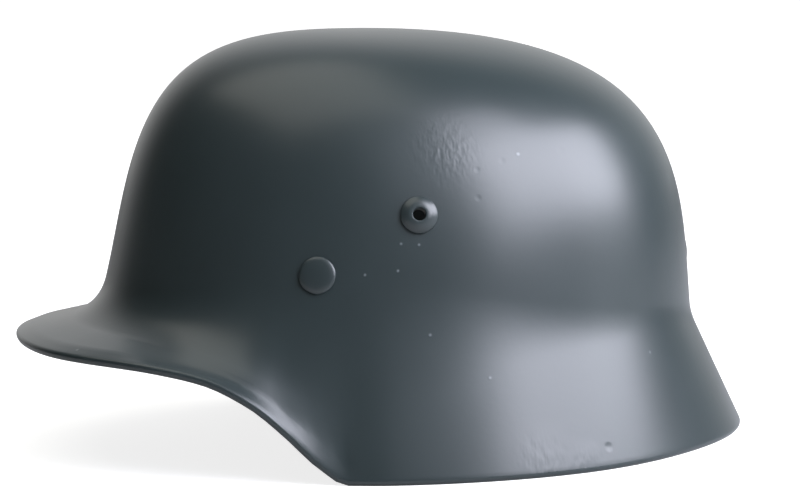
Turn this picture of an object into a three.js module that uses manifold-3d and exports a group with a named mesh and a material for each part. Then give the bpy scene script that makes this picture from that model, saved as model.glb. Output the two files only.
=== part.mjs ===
// Pressed-steel combat helmet shell with its two vent bushings and its three lining rivets.
// Millimetres, +Z up. The visor points to -Y and the wearer's left is +X. The helmet rests on its
// rim at z = 0, and the origin is the middle of its plan.
import * as THREE from 'three';
import { mergeVertices } from 'three/addons/utils/BufferGeometryUtils.js';
import Module from 'manifold-3d';

// Sheet and rim
const SHEET = 1.2;
const BEAD_RADIUS = 1.7;
const HEM_WIDTH = 5;
const BEAD_FLAT_HALF_ANGLE = THREE.MathUtils.degToRad(16);

// Rings that shape the crown, from the top down. front and rear are the ring's ends in Y, half is
// its half width in X, and egg moves its widest place towards the rear. The crown follows them as
// a curve follows its control points, and only touches the first and the last.
const CROWN = {
  apex: { front: -17.3, rear: -17.3, half: 0, zFront: 158.3, zSide: 158.3, zRear: 158.3, egg: 0 },
  top: { front: -69.9, rear: 40.6, half: 50, zFront: 158.3, zSide: 158.3, zRear: 158.3, egg: 0 },
  shoulder: { front: -97.6, rear: 127.3, half: 86, zFront: 144.8, zSide: 146, zRear: 152, egg: 4 },
  wall: { front: -96.9, rear: 117.6, half: 91, zFront: 88, zSide: 92, zRear: 96, egg: 4 },
  crease: { front: -109.2, rear: 121.3, half: 97, zFront: 54, zSide: 52, zRear: 44, egg: 4 },
};

// Visor, side skirts and neck guard, by the angle from the front. crease is the height where the
// crown would meet the flare, overhang is how far the flare runs out in plan, rim is the height of
// the rim's underside, and above and below are how far the round of the crease runs each way.
const FLARE = [
  { angle: 0, crease: 54.8, overhang: 32.3, rim: 43.2, above: 10, below: 10 },
  { angle: 20, crease: 54.8, overhang: 33.2, rim: 42.4, above: 10, below: 11 },
  { angle: 40, crease: 54, overhang: 28, rim: 40.5, above: 13, below: 14 },
  { angle: 50, crease: 54, overhang: 21.2, rim: 36, above: 16, below: 18 },
  { angle: 57, crease: 54, overhang: 18.5, rim: 28.5, above: 20, below: 22 },
  { angle: 63, crease: 53, overhang: 16.6, rim: 17.6, above: 24, below: 27 },
  { angle: 69, crease: 53, overhang: 16.6, rim: 5.3, above: 26, below: 32 },
  { angle: 73, crease: 53, overhang: 16.8, rim: 0, above: 27, below: 33 },
  { angle: 80, crease: 53, overhang: 18, rim: 0, above: 24, below: 29 },
  { angle: 110, crease: 51.5, overhang: 18.5, rim: 0, above: 9, below: 10 },
  { angle: 140, crease: 49.5, overhang: 16, rim: 0, above: 5, below: 6 },
  { angle: 180, crease: 44.6, overhang: 20.2, rim: 0, above: 3.5, below: 4.5 },
];

// Mesh density
const SECTIONS = 80;
const CROWN_ROWS = 12;
const CREASE_ROWS = 5;
const FITTING_SIDES = 24;

// Vent bushing, a hollow rivet of thin sheet. Its flange is level from the lip round the bore to
// near the shoulder, rounds down to an upright edge, and is hollow underneath. All are radii but
// PROUD and EDGE, which are heights over the shell.
const VENT = { y: 2.9, z: 94 };
const VENT_BORE = 2.3;
const VENT_LIP = 2.7;
const VENT_LIP_DROP = 0.3;
const VENT_SHOULDER = 4.6;
const VENT_FLANGE = 6.7;
const VENT_PROUD = 2.7;
const VENT_EDGE = 0.9;
const VENT_SHEET = 0.8;
const VENT_INNER_FLANGE = 5.4;

// Lining rivet, with a low head that is nearly level up to its rounded shoulder
const SIDE_RIVET = { y: -34, z: 73.2 };
const REAR_RIVET_HEIGHT = 68;
const RIVET_HEAD = 6.8;
const RIVET_SHOULDER = 6.2;
const RIVET_PROUD = 1.7;
const RIVET_EDGE = 0.6;
const RIVET_SHANK = 2.5;
const RIVET_CLINCH = 4.5;

// Seating of every fitting in the shell. Inside, the shell is curved where a flange is level, so
// the flange keeps a little more room.
const GAP = 0.3;
const CURVE_ROOM = 0.15;
const INNER_FACE = -(SHEET + GAP + CURVE_ROOM);
const INNER_FLANGE_THICKNESS = 1;
const INNER_FLANGE_ROUND = 0.3;
const HOLE_LENGTH = 12;

// Satin enamel
const ENAMEL_COLOUR = 0x4a5556;
const ENAMEL_METALNESS = 0.1;
const SHELL_ROUGHNESS = 0.45;
const FITTING_ROUGHNESS = 0.5;

const FULL_TURN = 2 * Math.PI;
const UP = new THREE.Vector3(0, 0, 1);

// Smooth curve through one column of the flare table, level at the front and at the rear and
// without overshoot between its rows.
function flareValue(column, turn) {
  const degrees = THREE.MathUtils.radToDeg(turn);
  const angle = degrees > 180 ? 360 - degrees : degrees;
  const rise = (i) => (FLARE[i + 1][column] - FLARE[i][column]) / (FLARE[i + 1].angle - FLARE[i].angle);
  const slope = (i) => {
    if (i === 0 || i === FLARE.length - 1) return 0;
    const before = FLARE[i].angle - FLARE[i - 1].angle;
    const after = FLARE[i + 1].angle - FLARE[i].angle;
    if (rise(i - 1) * rise(i) <= 0) return 0;
    const weightBefore = 2 * after + before;
    const weightAfter = after + 2 * before;
    return (weightBefore + weightAfter) / (weightBefore / rise(i - 1) + weightAfter / rise(i));
  };
  let i = 0;
  while (i < FLARE.length - 2 && angle > FLARE[i + 1].angle) i += 1;
  const width = FLARE[i + 1].angle - FLARE[i].angle;
  const t = (angle - FLARE[i].angle) / width;
  const start = FLARE[i][column] * (1 + 2 * t) * (1 - t) ** 2;
  const end = FLARE[i + 1][column] * (3 - 2 * t) * t ** 2;
  return start + end + width * (slope(i) * t * (1 - t) ** 2 - slope(i + 1) * (1 - t) * t ** 2);
}

// Point of a crown ring at a turn from the front.
function ringPoint(ring, turn) {
  const { front, rear, half, zFront, zSide, zRear, egg } = ring;
  const side = Math.sin(turn) ** 2;
  const middle = (zFront + zRear) / 2;
  return new THREE.Vector3(
    half * Math.sin(turn),
    (front + rear) / 2 - ((rear - front) / 2) * Math.cos(turn) + egg * side,
    middle + ((zFront - zRear) / 2) * Math.cos(turn) + (zSide - middle) * side,
  );
}

// Point where crown and flare would meet in a sharp corner.
function creasePoint(turn) {
  const point = ringPoint(CROWN.crease, turn);
  point.z = flareValue('crease', turn);
  return point;
}

// Level direction that points away from the crease ring.
function planNormal(turn) {
  const { front, rear, half, egg } = CROWN.crease;
  const alongX = half * Math.cos(turn);
  const alongY = ((rear - front) / 2) * Math.sin(turn) + 2 * egg * Math.sin(turn) * Math.cos(turn);
  return new THREE.Vector3(alongY, -alongX, 0).normalize();
}

function rimPoint(turn) {
  const point = creasePoint(turn).addScaledVector(planNormal(turn), flareValue('overhang', turn));
  point.z = flareValue('rim', turn);
  return point;
}

// Curve of any degree by its control points.
function bezier(controls, t) {
  let points = controls.map((p) => p.clone());
  while (points.length > 1) points = points.slice(1).map((p, i) => points[i].clone().lerp(p, t));
  return points[0];
}

// Share of a crown curve above the place where it comes down to a height.
function shareAbove(controls, height) {
  let low = 0;
  let high = 1;
  for (let step = 0; step < 30; step += 1) {
    const middle = (low + high) / 2;
    if (bezier(controls, middle).z > height) low = middle;
    else high = middle;
  }
  return low;
}

// One section of the shell, from below the apex over the outside, round the rolled rim and to the
// end of its hem. outer are the points of the outer face and rolled those of the bead and the hem.
function section(turn) {
  const crease = creasePoint(turn);
  const controls = [CROWN.apex, CROWN.top, CROWN.shoulder, CROWN.wall].map((r) => ringPoint(r, turn));
  controls.push(crease);
  const end = shareAbove(controls, crease.z + flareValue('above', turn));
  const outer = [];
  for (let i = 1; i <= CROWN_ROWS; i += 1) outer.push(bezier(controls, (end * i) / CROWN_ROWS));

  // frame of the rim: along it, outwards in the sheet, and out of the sheet
  const rim = rimPoint(turn);
  const step = 0.01;
  const along = rimPoint(turn + step).sub(rimPoint(turn - step)).normalize();
  const down = rim.clone().sub(crease).normalize();
  const normal = down.clone().cross(along).normalize();
  const out = along.clone().cross(normal).normalize();

  // bead, with a narrow flat on its underside that lies at the rim's height
  const lowest = Math.atan2(-out.z, -normal.z);
  const flatStart = lowest - BEAD_FLAT_HALF_ANGLE;
  const flatEnd = lowest + BEAD_FLAT_HALF_ANGLE;
  const centre = rim.clone().addScaledVector(out, -BEAD_RADIUS).addScaledVector(normal, -BEAD_RADIUS);
  const onBead = (angle) => centre.clone()
    .addScaledVector(normal, BEAD_RADIUS * Math.cos(angle))
    .addScaledVector(out, BEAD_RADIUS * Math.sin(angle));
  centre.z += flareValue('rim', turn) - onBead(flatStart).z;
  const beadStart = onBead(0);
  const hemLine = beadStart.clone().addScaledVector(out, -HEM_WIDTH);

  // round of the crease, then straight to the hem
  const blend = crease.clone().addScaledVector(down, flareValue('below', turn));
  const round = [outer[CROWN_ROWS - 1], crease, blend];
  for (let i = 1; i <= CREASE_ROWS; i += 1) outer.push(bezier(round, i / CREASE_ROWS));
  outer.push(blend.clone().lerp(hemLine, 0.5), hemLine, beadStart);

  const angles = [flatStart / 3, (2 * flatStart) / 3, flatStart, flatEnd, (flatEnd + Math.PI) / 2, Math.PI];
  const rolled = angles.map(onBead);
  rolled.push(hemLine.clone().addScaledVector(normal, -2 * BEAD_RADIUS));
  return { outer, rolled };
}

// Closed surface of the shell: outer face, bead, hem, and the inner face one sheet further in.
function shellGeometry() {
  const sections = [];
  for (let i = 0; i < SECTIONS; i += 1) sections.push(section((FULL_TURN * i) / SECTIONS));
  const apex = ringPoint(CROWN.apex, 0);
  const at = (i, row) => (row < 0 ? apex : sections[(i + SECTIONS) % SECTIONS].outer[row]);
  const columns = sections.map(({ outer, rolled }, i) => {
    const inner = [];
    for (let row = outer.length - 2; row >= 0; row -= 1) {
      const down = at(i, row + 1).clone().sub(at(i, row - 1));
      const round = at(i + 1, row).clone().sub(at(i - 1, row));
      inner.push(outer[row].clone().addScaledVector(down.cross(round).normalize(), -SHEET));
    }
    return [...outer, ...rolled, ...inner];
  });

  const rows = columns[0].length;
  const points = [apex, ...columns.flat(), apex.clone().addScaledVector(UP, -SHEET)];
  const bottom = points.length - 1;
  const index = (i, row) => 1 + (i % SECTIONS) * rows + row;
  const triangles = [];
  for (let i = 0; i < SECTIONS; i += 1) {
    triangles.push([0, index(i, 0), index(i + 1, 0)]);
    for (let row = 0; row < rows - 1; row += 1) {
      triangles.push([index(i, row), index(i, row + 1), index(i + 1, row + 1)]);
      triangles.push([index(i, row), index(i + 1, row + 1), index(i + 1, row)]);
    }
    triangles.push([bottom, index(i + 1, rows - 1), index(i, rows - 1)]);
  }
  const geometry = new THREE.BufferGeometry().setFromPoints(points);
  geometry.setIndex(triangles.flat());
  return geometry;
}

const wasm = await Module();
wasm.setup();

function solidOf(geometry) {
  const bare = geometry.clone();
  bare.deleteAttribute('normal');
  bare.deleteAttribute('uv');
  const merged = mergeVertices(bare, 1e-4);
  return new wasm.Manifold(new wasm.Mesh({
    numProp: 3,
    vertProperties: new Float32Array(merged.attributes.position.array),
    triVerts: new Uint32Array(merged.index.array),
  }));
}

function geometryOf(solid) {
  const { vertProperties, triVerts } = solid.getMesh();
  const geometry = new THREE.BufferGeometry();
  geometry.setAttribute('position', new THREE.BufferAttribute(vertProperties, 3));
  geometry.setIndex(new THREE.BufferAttribute(triVerts, 1));
  geometry.computeVertexNormals();
  return geometry;
}

// Where a fitting sits: the first point of the shell that is met from outside, and the direction
// out of the shell over the width of its head. across is level and runs along the shell.
function seatOn(mesh, middle, inwards, radius) {
  const across = inwards.clone().cross(UP);
  const hit = (sideways, upwards) => {
    const from = middle.clone().addScaledVector(across, sideways).addScaledVector(UP, upwards);
    return new THREE.Raycaster(from, inwards).intersectObject(mesh)[0].point;
  };
  const level = hit(radius, 0).sub(hit(-radius, 0));
  const upright = hit(0, radius).sub(hit(0, -radius));
  return { position: hit(0, 0), normal: level.cross(upright).normalize() };
}

function placeAt(object, seat) {
  object.position.copy(seat.position);
  object.quaternion.setFromUnitVectors(new THREE.Vector3(0, 1, 0), seat.normal);
  object.updateMatrixWorld();
  return object;
}

// Hole for a fitting's shank, as a solid to cut away.
function holeAt(seat, radius) {
  const drill = new THREE.Mesh(new THREE.CylinderGeometry(radius, radius, HOLE_LENGTH, FITTING_SIDES));
  return solidOf(placeAt(drill, seat).geometry.applyMatrix4(drill.matrixWorld));
}

// Head of a fitting in section: level at the radius start, then rounding down past the radius
// shoulder to the height foot at the radius end.
function headPoints(start, shoulder, end, foot, top, steps) {
  const controls = [[start, top], [shoulder, top], [end, foot]].map(([r, y]) => new THREE.Vector2(r, y));
  return Array.from({ length: steps + 1 }, (_, i) => bezier(controls, i / steps).toArray());
}

function latheOf(points) {
  return new THREE.LatheGeometry(points.map(([r, y]) => new THREE.Vector2(r, y)), FITTING_SIDES);
}

// Flange that a fitting is closed with inside the shell, from its upper face to its lower one.
function innerFlange(shank, radius, bore) {
  const foot = INNER_FACE - INNER_FLANGE_THICKNESS;
  return [
    [shank, INNER_FACE],
    [radius - INNER_FLANGE_ROUND, INNER_FACE],
    [radius, INNER_FACE - INNER_FLANGE_ROUND],
    [radius, foot + INNER_FLANGE_ROUND],
    [radius - INNER_FLANGE_ROUND, foot],
    [bore, foot],
  ];
}

// Hollow rivet: a rounded outer flange round the bore, a thin shank and a turned inner flange.
function ventGeometry() {
  const shank = VENT_BORE + VENT_SHEET;
  const within = VENT_FLANGE - VENT_SHEET;
  const boreTop = [VENT_BORE, VENT_PROUD - VENT_LIP_DROP];
  const profile = [
    boreTop,
    ...headPoints(VENT_LIP, VENT_SHOULDER, VENT_FLANGE, VENT_EDGE, VENT_PROUD, 5),
    [VENT_FLANGE, GAP],
    ...headPoints(shank, VENT_SHOULDER, within, GAP, VENT_PROUD - VENT_SHEET, 3).reverse(),
    ...innerFlange(shank, VENT_INNER_FLANGE, VENT_BORE),
    boreTop,
  ];
  return latheOf(profile.reverse());
}

// Lining rivet: a low head with a short upright edge, a shank and its clinched end.
function rivetGeometry() {
  const profile = [
    ...headPoints(0, RIVET_SHOULDER, RIVET_HEAD, RIVET_EDGE, RIVET_PROUD, 6),
    [RIVET_HEAD, GAP],
    [RIVET_SHANK, GAP],
    ...innerFlange(RIVET_SHANK, RIVET_CLINCH, 0),
  ];
  return latheOf(profile.reverse());
}

// Dark grey-green satin enamel, on the shell and on the fittings that were painted with it.
function enamel(roughness) {
  return new THREE.MeshStandardMaterial({ color: ENAMEL_COLOUR, roughness, metalness: ENAMEL_METALNESS });
}

function namedMesh(name, geometry, roughness) {
  const mesh = new THREE.Mesh(geometry, enamel(roughness));
  mesh.name = name;
  return mesh;
}

const helmet = new THREE.Group();
const blank = new THREE.Mesh(shellGeometry(), new THREE.MeshStandardMaterial());
blank.updateMatrixWorld();
let shellSolid = solidOf(blank.geometry);

const FAR = 300;
const SIDES = [
  { name: 'left', sign: 1 },
  { name: 'right', sign: -1 },
];
const fittings = [];
for (const { name, sign } of SIDES) {
  const inwards = new THREE.Vector3(-sign, 0, 0);
  const vent = new THREE.Vector3(sign * FAR, VENT.y, VENT.z);
  const rivet = new THREE.Vector3(sign * FAR, SIDE_RIVET.y, SIDE_RIVET.z);
  fittings.push({ name: `vent_bushing_${name}`, seat: seatOn(blank, vent, inwards, VENT_FLANGE) });
  fittings.push({ name: `rivet_${name}`, seat: seatOn(blank, rivet, inwards, RIVET_HEAD) });
}
const behind = new THREE.Vector3(0, FAR, REAR_RIVET_HEIGHT);
const forwards = new THREE.Vector3(0, -1, 0);
fittings.push({ name: 'rivet_rear', seat: seatOn(blank, behind, forwards, RIVET_HEAD) });

for (const { name, seat } of fittings) {
  const isVent = name.startsWith('vent');
  const shank = isVent ? VENT_BORE + VENT_SHEET : RIVET_SHANK;
  shellSolid = shellSolid.subtract(holeAt(seat, shank + GAP));
  const geometry = isVent ? ventGeometry() : rivetGeometry();
  helmet.add(placeAt(namedMesh(name, geometry, FITTING_ROUGHNESS), seat));
}
helmet.add(namedMesh('shell', geometryOf(shellSolid), SHELL_ROUGHNESS));

export default helmet;
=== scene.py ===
import math

import bpy
from mathutils import Matrix, Quaternion, Vector


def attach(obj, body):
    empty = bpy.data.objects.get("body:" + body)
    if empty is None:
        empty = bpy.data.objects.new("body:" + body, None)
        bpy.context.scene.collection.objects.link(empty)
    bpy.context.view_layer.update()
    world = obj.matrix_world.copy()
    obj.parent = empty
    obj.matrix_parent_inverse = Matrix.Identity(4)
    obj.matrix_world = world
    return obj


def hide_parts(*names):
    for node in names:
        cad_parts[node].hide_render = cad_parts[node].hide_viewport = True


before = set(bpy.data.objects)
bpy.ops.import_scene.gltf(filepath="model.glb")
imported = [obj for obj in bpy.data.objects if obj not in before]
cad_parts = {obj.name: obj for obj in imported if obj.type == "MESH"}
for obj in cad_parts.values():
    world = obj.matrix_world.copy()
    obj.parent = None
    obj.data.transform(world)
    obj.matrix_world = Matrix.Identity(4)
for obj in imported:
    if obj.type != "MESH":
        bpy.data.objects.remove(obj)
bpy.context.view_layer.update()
scene = bpy.context.scene
MM = 0.001

# Sheet and rim, in millimetres, and the half width in degrees of the bead's flat underside
SHEET = 1.2
BEAD_RADIUS = 1.7
BEAD_FLAT = 16
HEM_WIDTH = 5
HEM_EDGE_ROUND = 0.35

# Where the middle of a rounded edge lies, back from the sharp corner, as a share of its radius
ROUND_MIDDLE = 0.3

# Rings that shape the crown, from the top down. front and rear are the ring's ends in Y, half its
# half width in X, heights are given at the front, the side and the rear, and egg moves its widest
# place towards the rear.
CROWN = [
    dict(front=-17.3, rear=-17.3, half=0, heights=(158.3, 158.3, 158.3), egg=0),
    dict(front=-69.9, rear=40.6, half=50, heights=(158.3, 158.3, 158.3), egg=0),
    dict(front=-97.6, rear=127.3, half=86, heights=(144.8, 146, 152), egg=4),
    dict(front=-96.9, rear=117.6, half=91, heights=(88, 92, 96), egg=4),
]
CREASE = dict(front=-109.2, rear=121.3, half=97, heights=(54, 52, 44), egg=4)

# Visor, side skirts and neck guard by the angle from the front: height of the crease, how far the
# flare runs out, height of the rim, and how far the round of the crease runs up and down.
FLARE = [
    dict(angle=0, crease=54.8, overhang=32.3, rim=43.2, above=10, below=10),
    dict(angle=20, crease=54.8, overhang=33.2, rim=42.4, above=10, below=11),
    dict(angle=40, crease=54, overhang=28, rim=40.5, above=13, below=14),
    dict(angle=50, crease=54, overhang=21.2, rim=36, above=16, below=18),
    dict(angle=57, crease=54, overhang=18.5, rim=28.5, above=20, below=22),
    dict(angle=63, crease=53, overhang=16.6, rim=17.6, above=24, below=27),
    dict(angle=69, crease=53, overhang=16.6, rim=5.3, above=26, below=32),
    dict(angle=73, crease=53, overhang=16.8, rim=0, above=27, below=33),
    dict(angle=80, crease=53, overhang=18, rim=0, above=24, below=29),
    dict(angle=110, crease=51.5, overhang=18.5, rim=0, above=9, below=10),
    dict(angle=140, crease=49.5, overhang=16, rim=0, above=5, below=6),
    dict(angle=180, crease=44.6, overhang=20.2, rim=0, above=3.5, below=4.5),
]

# Lip of the temple: over the last millimetres before the rim, its width, the sheet turns outwards by
# its rise. It starts, is full and ends at angles from the front.
LIP = dict(start=33, full=(45, 53), end=73, width=22, rise=3.5)

# The smooth rim keeps this far inside the faceted solid's box
FACET_ROOM = 0.15

# Fineness of the pressed sheet, the small turn that gives the rim's direction, and the halvings that
# find the end of the crown's curve
SECTIONS = 192
CROWN_ROWS = 40
CREASE_ROWS = 12
FLARE_ROWS = 10
HEM_ROWS = 3
BEAD_ROWS = 14
SMALL_TURN = 0.01
HALVINGS = 30

# Points nearer to each other than this are welded, in millimetres
SHELL_WELD = 0.01
FITTING_WELD = 0.03

# Fittings in millimetres: places, radii, how far they stand proud, and the clinched ends inside
GAP = 0.3
VENT = dict(y=2.9, z=94, bore=2.3, lip=2.7, shoulder=4.6, flange=6.7, proud=2.7, edge=0.9, sheet=0.8,
            clinch=5.4)
SIDE_RIVET = dict(y=-34, z=73.2)
REAR_RIVET_HEIGHT = 68
RIVET = dict(head=6.8, shoulder=6.2, proud=1.7, edge=0.6, shank=2.5, clinch=4.5)
CLINCH = dict(room=0.15, thick=1, round=0.3)
FITTING_SIDES = 72
AXIS_RADIUS = 0.01

# Drill for the holes, and where the lines that find the fittings' seats start, outside the shell
DRILL_SIDES = 48
DRILL_LENGTH = 12
OUTSIDE = 300

# Edges sharper than this many degrees stay sharp
SMOOTH_ANGLE = 35


# Small helpers

def linear(hex_colour):
    """sRGB hex to the linear colour that shaders take."""
    values = [int(hex_colour[i:i + 2], 16) / 255 for i in (1, 3, 5)]
    return [c / 12.92 if c <= 0.04045 else ((c + 0.055) / 1.055) ** 2.4 for c in values] + [1]


def deselect():
    if bpy.context.object and bpy.context.object.mode != "OBJECT":
        bpy.ops.object.mode_set(mode="OBJECT")
    bpy.ops.object.select_all(action="DESELECT")


def only(piece):
    deselect()
    piece.select_set(True)
    bpy.context.view_layer.objects.active = piece


# Pressed shell

def from_front(turn):
    """Angle from the front in degrees, the same on both sides."""
    degrees = math.degrees(turn) % 360
    return 360 - degrees if degrees > 180 else degrees


def flare_value(column, turn):
    """Smooth curve through one column of FLARE, level at front and rear, without overshoot."""
    angle = from_front(turn)
    i = 0
    while i < len(FLARE) - 2 and angle > FLARE[i + 1]["angle"]:
        i += 1

    def width(k):
        return FLARE[k + 1]["angle"] - FLARE[k]["angle"]

    def rise(k):
        return (FLARE[k + 1][column] - FLARE[k][column]) / width(k)

    def slope(k):
        if k in (0, len(FLARE) - 1) or rise(k - 1) * rise(k) <= 0:
            return 0
        before, after = 2 * width(k) + width(k - 1), width(k) + 2 * width(k - 1)
        return (before + after) / (before / rise(k - 1) + after / rise(k))

    t = (angle - FLARE[i]["angle"]) / width(i)
    start = FLARE[i][column] * (1 + 2 * t) * (1 - t) ** 2
    end = FLARE[i + 1][column] * (3 - 2 * t) * t ** 2
    return start + end + width(i) * (slope(i) * t * (1 - t) ** 2 - slope(i + 1) * (1 - t) * t ** 2)


def ring_point(ring, turn):
    side = math.sin(turn) ** 2
    front, beside, rear = ring["heights"]
    middle = (front + rear) / 2
    return Vector((
        ring["half"] * math.sin(turn),
        (ring["front"] + ring["rear"]) / 2 - (ring["rear"] - ring["front"]) / 2 * math.cos(turn)
        + ring["egg"] * side,
        middle + (front - rear) / 2 * math.cos(turn) + (beside - middle) * side,
    ))


def crease_point(turn):
    point = ring_point(CREASE, turn)
    point.z = flare_value("crease", turn)
    return point


def rim_point(turn):
    along_x = CREASE["half"] * math.cos(turn)
    along_y = (CREASE["rear"] - CREASE["front"]) / 2 * math.sin(turn) \
        + 2 * CREASE["egg"] * math.sin(turn) * math.cos(turn)
    outwards = Vector((along_y, -along_x, 0)).normalized()
    point = crease_point(turn) + outwards * (flare_value("overhang", turn) - FACET_ROOM)
    point.z = flare_value("rim", turn)
    return point


def lip_rise(turn):
    """How far the rim is turned out of the sheet at the temple."""
    angle = from_front(turn)
    rising = (angle - LIP["start"]) / (LIP["full"][0] - LIP["start"])
    falling = (LIP["end"] - angle) / (LIP["end"] - LIP["full"][1])
    share = min(max(min(rising, falling), 0), 1)
    return LIP["rise"] * share * share * (3 - 2 * share)


def bezier(controls, t):
    points = list(controls)
    while len(points) > 1:
        points = [a.lerp(b, t) for a, b in zip(points, points[1:])]
    return points[0]


def section(turn):
    """One section of the shell: its outer face from under the apex to the rim, then its rolled rim."""
    crease = crease_point(turn)
    controls = [ring_point(ring, turn) for ring in CROWN] + [crease]
    low, high = 0.0, 1.0
    for _ in range(HALVINGS):
        middle = (low + high) / 2
        if bezier(controls, middle).z > crease.z + flare_value("above", turn):
            low = middle
        else:
            high = middle
    outer = [bezier(controls, low * i / CROWN_ROWS) for i in range(1, CROWN_ROWS + 1)]

    rim = rim_point(turn)
    lip = lip_rise(turn)
    along = (rim_point(turn + SMALL_TURN) - rim_point(turn - SMALL_TURN)).normalized()
    down = (rim - crease).normalized()
    normal = down.cross(along).normalized()
    out = along.cross(normal).normalized()
    lowest = math.atan2(-out.z, -normal.z)
    flat_start = lowest - math.radians(BEAD_FLAT)
    centre = rim + normal * lip - (out + normal) * BEAD_RADIUS

    def on_bead(angle):
        return centre + (normal * math.cos(angle) + out * math.sin(angle)) * BEAD_RADIUS

    centre.z += flare_value("rim", turn) - on_bead(flat_start).z
    flat_bead = on_bead(0) - normal * lip
    flat_hem = flat_bead - out * HEM_WIDTH

    def on_lip(point):
        """Where a point of the straight flare comes to lie once the lip is turned out."""
        reach = max(1 - (flat_bead - point).dot(out) / LIP["width"], 0)
        return point + normal * lip * reach ** 3

    blend = crease + down * flare_value("below", turn)
    corner = [outer[-1], crease, blend]
    outer += [on_lip(bezier(corner, i / CREASE_ROWS)) for i in range(1, CREASE_ROWS + 1)]
    outer += [on_lip(blend.lerp(flat_hem, i / FLARE_ROWS)) for i in range(1, FLARE_ROWS + 1)]
    outer += [on_lip(flat_hem.lerp(flat_bead, i / HEM_ROWS)) for i in range(1, HEM_ROWS + 1)]

    rolled = [on_bead(math.pi * i / BEAD_ROWS) for i in range(1, BEAD_ROWS + 1)]
    for point in rolled:
        point.z = max(point.z, flare_value("rim", turn))
    hem_end = on_lip(flat_hem) - normal * 2 * BEAD_RADIUS
    rolled += [rolled[-1].lerp(hem_end, 0.5), hem_end + out * HEM_EDGE_ROUND]
    rolled += [hem_end + (out + normal) * HEM_EDGE_ROUND * ROUND_MIDDLE, hem_end + normal * HEM_EDGE_ROUND]
    return outer, rolled


def press_shell():
    """A flat grid with a row for each ring and a column for each section, pressed over the form."""
    sections = [section(2 * math.pi * i / SECTIONS) for i in range(SECTIONS)]
    apex = ring_point(CROWN[0], 0)

    def at(i, row):
        return apex if row < 0 else sections[i % SECTIONS][0][row]

    columns = []
    hem_row = CROWN_ROWS + CREASE_ROWS + FLARE_ROWS - 1
    for i, (outer, rolled) in enumerate(sections):
        inner = []
        for row in range(hem_row, -1, -1):
            down = at(i, row + 1) - at(i, row - 1)
            across = at(i + 1, row) - at(i - 1, row)
            inner.append(outer[row] - down.cross(across).normalized() * SHEET)
        columns.append([apex] + outer + rolled + inner + [apex - Vector((0, 0, SHEET))])
    columns.append(columns[0])

    rows = len(columns[0])
    deselect()
    bpy.ops.mesh.primitive_grid_add(x_subdivisions=rows - 1, y_subdivisions=SECTIONS, size=2)
    shell = bpy.context.object
    shell.name = "shell_pressed"
    for vertex in shell.data.vertices:
        row = round((vertex.co.x + 1) / 2 * (rows - 1))
        column = round((vertex.co.y + 1) / 2 * SECTIONS)
        vertex.co = columns[column][row] * MM
    bpy.ops.object.mode_set(mode="EDIT")
    bpy.ops.mesh.select_all(action="SELECT")
    bpy.ops.mesh.remove_doubles(threshold=SHELL_WELD * MM)
    bpy.ops.mesh.normals_make_consistent(inside=False)
    bpy.ops.object.mode_set(mode="OBJECT")
    return shell


# Vent bushings and lining rivets

def lathe(name, profile):
    """Ring by ring: a circle is extruded and resized along the profile, given as (radius, height)."""
    deselect()
    profile = [(max(radius, AXIS_RADIUS), height) for radius, height in profile]
    radius, height = profile[0]
    bpy.ops.mesh.primitive_circle_add(vertices=FITTING_SIDES, radius=radius * MM, location=(0, 0, 0))
    piece = bpy.context.object
    piece.name = name
    bpy.ops.object.mode_set(mode="EDIT")
    bpy.ops.mesh.select_all(action="SELECT")
    bpy.ops.transform.translate(value=(0, 0, height * MM))
    for next_radius, next_height in profile[1:]:
        bpy.ops.mesh.extrude_edges_move(
            TRANSFORM_OT_translate={"value": (0, 0, (next_height - height) * MM)})
        size = next_radius / radius
        bpy.ops.transform.resize(value=(size, size, 1), center_override=(0, 0, next_height * MM))
        radius, height = next_radius, next_height
    bpy.ops.mesh.select_all(action="SELECT")
    bpy.ops.mesh.remove_doubles(threshold=FITTING_WELD * MM)
    bpy.ops.mesh.normals_make_consistent(inside=False)
    bpy.ops.object.mode_set(mode="OBJECT")
    return piece


def head_profile(start, shoulder, end, foot, top, steps):
    """Level at the radius start, then rounding down past the shoulder to the height foot."""
    controls = [Vector((start, top)), Vector((shoulder, top)), Vector((end, foot))]
    return [tuple(bezier(controls, i / steps)) for i in range(steps + 1)]


def clinched_end(shank, radius, bore):
    """The end inside the shell: a flat disc with rounded edges."""
    face = -(SHEET + GAP + CLINCH["room"])
    back = face - CLINCH["thick"]
    edge = CLINCH["round"]
    corner = edge * ROUND_MIDDLE
    return [(shank, face), (radius - edge, face), (radius - corner, face - corner), (radius, face - edge),
            (radius, back + edge), (radius - corner, back + corner), (radius - edge, back), (bore, back)]


def seat_on(shell, start, inwards, radius):
    """The point of the shell that is met from outside, and the direction out of it there."""
    across = inwards.cross(Vector((0, 0, 1)))

    def hit(sideways, upwards):
        origin = start + across * sideways + Vector((0, 0, upwards))
        return shell.ray_cast(origin * MM, inwards)[1]

    level = hit(radius, 0) - hit(-radius, 0)
    upright = hit(0, radius) - hit(0, -radius)
    return hit(0, 0), level.cross(upright).normalized()


def set_in(piece, seat):
    place, normal = seat
    piece.matrix_world = Matrix.Translation(place) @ normal.to_track_quat("Z", "Y").to_matrix().to_4x4()
    only(piece)
    bpy.ops.object.transform_apply(location=True, rotation=True, scale=True)


def cut_hole(shell, seat, radius):
    deselect()
    bpy.ops.mesh.primitive_cylinder_add(vertices=DRILL_SIDES, radius=radius * MM, depth=DRILL_LENGTH * MM)
    drill = bpy.context.object
    set_in(drill, seat)
    only(shell)
    cut = shell.modifiers.new("hole", "BOOLEAN")
    cut.operation, cut.object, cut.solver = "DIFFERENCE", drill, "EXACT"
    bpy.ops.object.modifier_apply(modifier=cut.name)
    bpy.data.objects.remove(drill)


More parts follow.
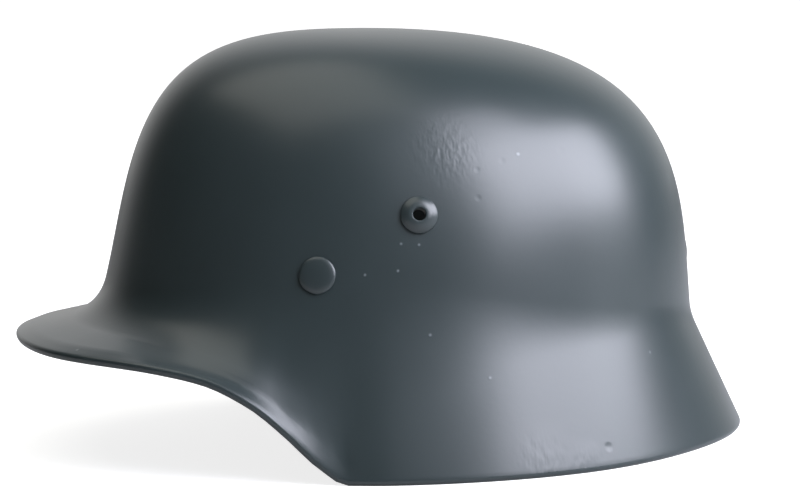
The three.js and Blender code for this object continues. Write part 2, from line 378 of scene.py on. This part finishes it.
def vent_piece(name):
    """Formed sheet bushing: rounded lip of the bore, domed flange, its hollow back, and the clinch."""
    bore, flange, proud, edge, sheet = (VENT[key] for key in ("bore", "flange", "proud", "edge", "sheet"))
    shank = bore + sheet
    return lathe(name, [
        (bore, proud - 0.45), (bore + 0.07, proud - 0.2), (bore + 0.2, proud - 0.05),
        *head_profile(VENT["lip"], VENT["shoulder"], flange - 0.05, edge, proud, 14),
        (flange, edge - 0.12), (flange, GAP),
        *reversed(head_profile(shank, VENT["shoulder"], flange - sheet, GAP, proud - sheet, 8)),
        *clinched_end(shank, VENT["clinch"], bore),
        (bore, proud - 0.45),
    ])


def rivet_piece(name):
    """Solid rivet: low domed head with a small rounded edge, shank, and the clinch."""
    head, edge = RIVET["head"], RIVET["edge"]
    return lathe(name, [
        *head_profile(0, RIVET["shoulder"], head - 0.03, edge, RIVET["proud"], 18),
        (head, edge - 0.1), (head, GAP), (RIVET["shank"], GAP),
        *clinched_end(RIVET["shank"], RIVET["clinch"], 0),
    ])


# Paint

def node(tree, kind, links=(), **settings):
    """Adds a node, sets its settings and sockets, and links its inputs from (socket, output)."""
    made = tree.nodes.new(kind)
    for key, value in settings.items():
        if key.startswith("in_"):
            socket = key[3:]
            made.inputs[int(socket) if socket.isdigit() else socket.replace("_", " ")].default_value = value
        else:
            setattr(made, key, value)
    for socket, output in links:
        tree.links.new(output, made.inputs[socket])
    return made


# Enamel: its darker and lighter tint, its roughness, the pale grey of nibs and the share of a nib's
# radius that is pale. Sizes of the clouds between the tints and of the orange peel, and the peel's
# height, in millimetres.
ENAMEL_DARK = "#252d2e"
ENAMEL_LIGHT = "#2a3334"
NIB_GREY = "#5f6668"
NIB_PALE = 0.7
ENAMEL_ROUGHNESS = (0.3, 0.36)
CLOUD_SIZE = 45
PEEL_SIZE = 2.6
PEEL_HEIGHT = 0.018


def per(millimetres):
    """Noise scale for a grain of this size, on coordinates in metres."""
    return 1000 / millimetres


# Marks in the paint of the wearer's left side: nibs of dust under the paint stand up, and dents go
# in. Place, radius and height in millimetres.
MARKS = [
    dict(place=(79.4, 41.3, 114), radius=1.5, height=0.05),
    dict(place=(81.6, 34.9, 111.8), radius=1.8, height=-0.06),
    dict(place=(84, 25.3, 109.1), radius=1.6, height=-0.05),
    dict(place=(87.4, 24.8, 99.2), radius=1.6, height=-0.05),
    dict(place=(73.2, 58.1, 114.4), radius=2.2, height=-0.06),
    dict(place=(90.7, -4.1, 84), radius=1.1, height=0.04),
    dict(place=(91.5, 2.3, 83.5), radius=1.1, height=0.04),
    dict(place=(92.5, -5.7, 74.5), radius=1.1, height=0.04),
    dict(place=(90.6, -17.4, 73.3), radius=1.1, height=0.04),
    dict(place=(72.6, 90.8, 38.1), radius=1.3, height=0.05),
    dict(place=(102, 25.4, 35.7), radius=1.1, height=0.04),
    dict(place=(98.2, 4.6, 51.6), radius=1.2, height=0.04),
    dict(place=(58.8, -120, 46.2), radius=1.3, height=0.04),
    dict(place=(99.9, 68.9, 8.2), radius=2.3, height=-0.14),
]

# Patches where the paint has shrunk into fine wrinkles: place, radius, width across the wrinkles and
# along them, and their height, in millimetres
WRINKLES = [
    dict(place=(82, 14, 116), radius=20, size=(1.8, 1.8, 4.5), height=0.14),
    dict(place=(109, 44, 7), radius=15, size=(3, 2.2, 6), height=0.2),
    dict(place=(105.5, 60, 5), radius=9, size=(3, 2.2, 6), height=0.2),
]


def fade_from(tree, position, place, radius, peak):
    """Peak value at a place, falling smoothly to nothing at the radius."""
    spot = tuple(c * MM for c in place)
    away = node(tree, "ShaderNodeVectorMath", [(0, position)], operation="DISTANCE", in_1=spot)
    return node(tree, "ShaderNodeMapRange", [("Value", away.outputs["Value"])],
                interpolation_type="SMOOTHSTEP", in_2=radius * MM, in_3=peak, in_4=0.0).outputs["Result"]


def satin_enamel(name, marked=False):
    """Satin enamel sprayed over primed steel: a broad soft highlight, a faint orange peel, and a
    grey-green that turns slate blue under cool light. On the shell also nibs, dents and wrinkles."""
    material = bpy.data.materials.new(name)
    material.use_nodes = True
    tree = material.node_tree
    tree.nodes.clear()
    position = node(tree, "ShaderNodeTexCoord").outputs["Object"]

    cloud = node(tree, "ShaderNodeTexNoise", [("Vector", position)], in_Scale=per(CLOUD_SIZE), in_Detail=3.0)
    peel = node(tree, "ShaderNodeTexNoise", [("Vector", position)], in_Scale=per(PEEL_SIZE), in_Detail=2.0)
    colour = node(tree, "ShaderNodeMix", [("Factor", cloud.outputs["Fac"])], data_type="RGBA",
                  in_6=linear(ENAMEL_DARK), in_7=linear(ENAMEL_LIGHT)).outputs[2]
    rough = node(tree, "ShaderNodeMapRange", [("Value", cloud.outputs["Fac"])],
                 in_3=ENAMEL_ROUGHNESS[0], in_4=ENAMEL_ROUGHNESS[1])
    heights = [node(tree, "ShaderNodeMath", [(0, peel.outputs["Fac"])], operation="MULTIPLY",
                    in_1=PEEL_HEIGHT * MM).outputs[0]]
    for mark in MARKS if marked else ():
        heights.append(fade_from(tree, position, mark["place"], mark["radius"], mark["height"] * MM))
        if mark["height"] > 0:
            pale = fade_from(tree, position, mark["place"], mark["radius"] * NIB_PALE, 1.0)
            colour = node(tree, "ShaderNodeMix", [("Factor", pale), (6, colour)], data_type="RGBA",
                          in_7=linear(NIB_GREY)).outputs[2]
    for patch in WRINKLES if marked else ():
        stretched = node(tree, "ShaderNodeVectorMath", [(0, position)], operation="MULTIPLY",
                         in_1=tuple(per(size) for size in patch["size"]))
        folds = node(tree, "ShaderNodeTexNoise", [("Vector", stretched.outputs["Vector"])],
                     in_Scale=1.0, in_Detail=1.0)
        depth = fade_from(tree, position, patch["place"], patch["radius"], patch["height"] * MM)
        heights.append(node(tree, "ShaderNodeMath", [(0, folds.outputs["Fac"]), (1, depth)],
                            operation="MULTIPLY").outputs[0])
    surface = heights[0]
    for height in heights[1:]:
        surface = node(tree, "ShaderNodeMath", [(0, surface), (1, height)], operation="ADD").outputs[0]
    bump = node(tree, "ShaderNodeBump", [("Height", surface)], in_Strength=1.0, in_Distance=1.0)
    shader = node(tree, "ShaderNodeBsdfPrincipled", [
        ("Base Color", colour), ("Roughness", rough.outputs["Result"]),
        ("Normal", bump.outputs["Normal"])], in_IOR=1.5)
    node(tree, "ShaderNodeOutputMaterial", [("Surface", shader.outputs["BSDF"])])
    return material


def finish_piece(piece, node_name, material):
    only(piece)
    bpy.ops.object.shade_smooth_by_angle(angle=math.radians(SMOOTH_ANGLE))
    piece.data.materials.clear()
    piece.data.materials.append(material)
    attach(piece, "root")
    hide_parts(node_name)


# The helmet put together

shell = press_shell()
seats = {}
for side, sign in (("left", 1), ("right", -1)):
    inwards = Vector((-sign, 0, 0))
    seats[f"vent_bushing_{side}"] = seat_on(
        shell, Vector((sign * OUTSIDE, VENT["y"], VENT["z"])), inwards, VENT["flange"])
    seats[f"rivet_{side}"] = seat_on(
        shell, Vector((sign * OUTSIDE, SIDE_RIVET["y"], SIDE_RIVET["z"])), inwards, RIVET["head"])
seats["rivet_rear"] = seat_on(
    shell, Vector((0, OUTSIDE, REAR_RIVET_HEIGHT)), Vector((0, -1, 0)), RIVET["head"])

enamel = satin_enamel("satin_enamel_on_fittings")
for name, seat in seats.items():
    is_vent = name.startswith("vent")
    cut_hole(shell, seat, (VENT["bore"] + VENT["sheet"] if is_vent else RIVET["shank"]) + GAP)
    piece = vent_piece(name + "_turned") if is_vent else rivet_piece(name + "_headed")
    set_in(piece, seat)
    finish_piece(piece, name, enamel)
finish_piece(shell, "shell", satin_enamel("satin_enamel_on_pressed_steel", marked=True))


# Studio

# Light panels by their direction from the helmet and their roll in degrees, distance and size in
# metres. The first makes the broad highlight of crown and neck guard, the second the streak on the
# temple, the third the low light on the neck guard, the fourth the even light on the side, and the
# last the soft patches on the front of the crown and on the visor.
PANELS = [
    dict(name="softbox_right_rear", azimuth=57, elevation=31, distance=1.2, size=(1.38, 0.72),
         strength=13.5, colour="#f0f1ff", roll=-5),
    dict(name="softbox_top", azimuth=41, elevation=55, distance=1.3, size=(0.6, 0.36),
         strength=7.5, colour="#f0f1ff", roll=0),
    dict(name="window_spill", azimuth=77, elevation=12, distance=1.4, size=(0.8, 0.55),
         strength=1.7, colour="#f2f5ff", roll=0),
    dict(name="softbox_glow", azimuth=15, elevation=37, distance=1.4, size=(1.1, 0.8),
         strength=1.15, colour="#eef2ff", roll=0),
    dict(name="overhead_fill", azimuth=-86, elevation=71, distance=1.6, size=(1.6, 1.3),
         strength=1.7, colour="#fffdf4", roll=0),
]
PANEL_AIM = Vector((0, 20, 90)) * MM

# White paper backdrop in a dim room: its direction, the cosines to that direction where it begins
# and where it is full, and the strengths of room and backdrop
BACKDROP = dict(direction=(-0.975, 0.17, 0.14), start=0.5, full=0.95, dim=0.03, bright=0.95)

# Floor paper: its size in metres, the glow that it gives the room, and the painted glow that is seen in it
# from near to far, dimmer near the helmet as a painted shade round it, at these distances in metres
FLOOR = dict(size=40, colour="#b4b4b4", roughness=0.9, glow=0.1, near=0.3, far=1.6, seen=(0.82, 1.0))

# The photo's camera: aim in millimetres, angles in degrees, distance in metres, lens in millimetres
CAMERA = dict(aim=(0, 8.4, 72.6), azimuth=81.9, elevation=6.3, roll=-1.34, distance=1.2, lens=138.8)


def panel(name, azimuth, elevation, distance, size, strength, colour, roll):
    """A soft light panel that faces the helmet, by its direction from it."""
    a, e = math.radians(azimuth), math.radians(elevation)
    towards = Vector((math.cos(a) * math.cos(e), math.sin(a) * math.cos(e), math.sin(e)))
    light = bpy.data.lights.new(name, "AREA")
    light.shape = "RECTANGLE"
    light.size, light.size_y = size
    light.energy = strength * size[0] * size[1] * math.pi
    light.color = linear(colour)[:3]
    lamp = bpy.data.objects.new(name, light)
    scene.collection.objects.link(lamp)
    turned = towards.to_track_quat("Z", "Y") @ Quaternion((0, 0, 1), math.radians(roll))
    lamp.location = PANEL_AIM + towards * distance
    lamp.rotation_euler = turned.to_euler()
    lamp.visible_camera = False


for settings in PANELS:
    panel(**settings)

# A dim room with a white paper backdrop on the far side of the helmet, which its edges reflect
world = bpy.data.worlds.new("studio_room")
scene.world = world
world.use_nodes = True
studio = world.node_tree
studio.nodes.clear()
direction = node(studio, "ShaderNodeTexCoord").outputs["Generated"]
facing = node(studio, "ShaderNodeVectorMath", [(0, direction)],
              operation="DOT_PRODUCT", in_1=BACKDROP["direction"])
backdrop = node(studio, "ShaderNodeMapRange", [("Value", facing.outputs["Value"])],
                interpolation_type="SMOOTHSTEP", in_1=BACKDROP["start"], in_2=BACKDROP["full"],
                in_3=BACKDROP["dim"], in_4=BACKDROP["bright"])
seen = node(studio, "ShaderNodeLightPath").outputs["Is Camera Ray"]
light_of_room = node(studio, "ShaderNodeMix", [("Factor", seen), (2, backdrop.outputs["Result"])], in_3=1.0)
room = node(studio, "ShaderNodeBackground", [("Strength", light_of_room.outputs[0])], in_Color=(1, 1, 1, 1))
node(studio, "ShaderNodeOutputWorld", [("Surface", room.outputs["Background"])])

deselect()
bpy.ops.mesh.primitive_plane_add(size=FLOOR["size"], location=(0, 0, 0))
floor = bpy.context.object
floor.name = "pale_floor"
# Matt white studio paper with a painted glow, which the camera sees dimmer near the helmet as a painted
# shade round it and full white far away, so that it fades into the white behind the helmet
paper = bpy.data.materials.new("pale_studio_paper")
paper.use_nodes = True
sheet = paper.node_tree
sheet_shader = sheet.nodes["Principled BSDF"]
sheet_shader.inputs["Base Color"].default_value = linear(FLOOR["colour"])
sheet_shader.inputs["Roughness"].default_value = FLOOR["roughness"]
sheet_shader.inputs["Emission Color"].default_value = (1, 1, 1, 1)
sheet_seen = node(sheet, "ShaderNodeLightPath").outputs["Is Camera Ray"]
away = node(sheet, "ShaderNodeVectorMath", [(0, node(sheet, "ShaderNodeTexCoord").outputs["Object"])],
            operation="LENGTH")
# Painted glow seen by the camera: dimmer near the helmet, a painted shade round it, and full white far away
painted_floor_glow = node(sheet, "ShaderNodeMapRange", [("Value", away.outputs["Value"])],
                   interpolation_type="SMOOTHSTEP", in_1=FLOOR["near"], in_2=FLOOR["far"],
                   in_3=FLOOR["seen"][0], in_4=FLOOR["seen"][1])
glow = node(sheet, "ShaderNodeMix", [("Factor", sheet_seen), (3, painted_floor_glow.outputs["Result"])],
            in_2=FLOOR["glow"])
sheet.links.new(glow.outputs[0], sheet_shader.inputs["Emission Strength"])
floor.data.materials.append(paper)

# Camera, a little in front of square to the left side and 6 degrees above the rim
target = Vector(CAMERA["aim"]) * MM
azimuth, elevation, roll = (math.radians(CAMERA[key]) for key in ("azimuth", "elevation", "roll"))
back = Vector((math.sin(azimuth) * math.cos(elevation), -math.cos(azimuth) * math.cos(elevation),
               math.sin(elevation)))
level_right = Vector((math.cos(azimuth), math.sin(azimuth), 0))
level_up = back.cross(level_right)
right = level_right * math.cos(roll) + level_up * math.sin(roll)
up = level_up * math.cos(roll) - level_right * math.sin(roll)
lens = bpy.data.cameras.new("photo_camera")
lens.sensor_width = 36
lens.lens = CAMERA["lens"]
lens.clip_start, lens.clip_end = 0.05, 100
camera = bpy.data.objects.new("photo_camera", lens)
scene.collection.objects.link(camera)
looking = Matrix((right, up, back)).transposed().to_4x4()
camera.matrix_world = Matrix.Translation(target + back * CAMERA["distance"]) @ looking
scene.camera = camera
scene.view_settings.view_transform = "Standard"
